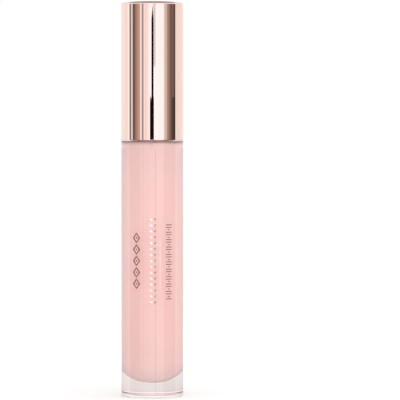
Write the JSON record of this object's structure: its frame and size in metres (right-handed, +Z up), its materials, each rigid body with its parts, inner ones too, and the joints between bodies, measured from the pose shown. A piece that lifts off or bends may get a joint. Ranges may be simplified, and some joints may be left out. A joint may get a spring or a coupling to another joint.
{
  "type": "lip gloss tube",
  "caption": "Clear heavy-wall lip gloss tube with a mirror rose-gold cap that unlocks and lifts out with its flocked doe-foot wand.",
  "frame": {"origin": "centre of the base, on the surface the tube stands on", "axes": "+Z up along the tube, from base to cap; -Y faces the viewer, where the foil decoration is; the doe foot leans towards -X"},
  "size_m": [0.0182, 0.0182, 0.114],
  "materials": {
    "clear_body": "gloss",
    "gloss": "gloss",
    "foil": "polished",
    "label": "satin",
    "wiper_plastic": "satin",
    "foam": "matte",
    "liner_plastic": "satin",
    "rose_gold": "polished",
    "clear_stem": "gloss",
    "clear_core": "satin",
    "flock": "matte"
  },
  "bodies": {
    "bottle": {"bottle": "clear_body", "gloss_fill": "gloss", "foil_print": "foil", "base_label": "label", "wiper": "wiper_plastic"},
    "washer": {"seal_washer": "foam"},
    "cap": {"inner_cap": "liner_plastic", "overcap": "rose_gold", "stem": "clear_stem", "applicator_core": "clear_core", "applicator_flock": "flock"}
  },
  "joints": [
    {"name": "cap_lift", "type": "slide", "parent": "bottle", "child": "washer", "axis": [0, 0, 1], "range_m": [0, 0.092], "deforming": ["wiper"]},
    {"name": "cap_turn", "type": "hinge", "parent": "washer", "child": "cap", "pos_m": [0, 0, 0.0896], "axis": [0, 0, 1], "range_deg": [-90, 0]}
  ]
}
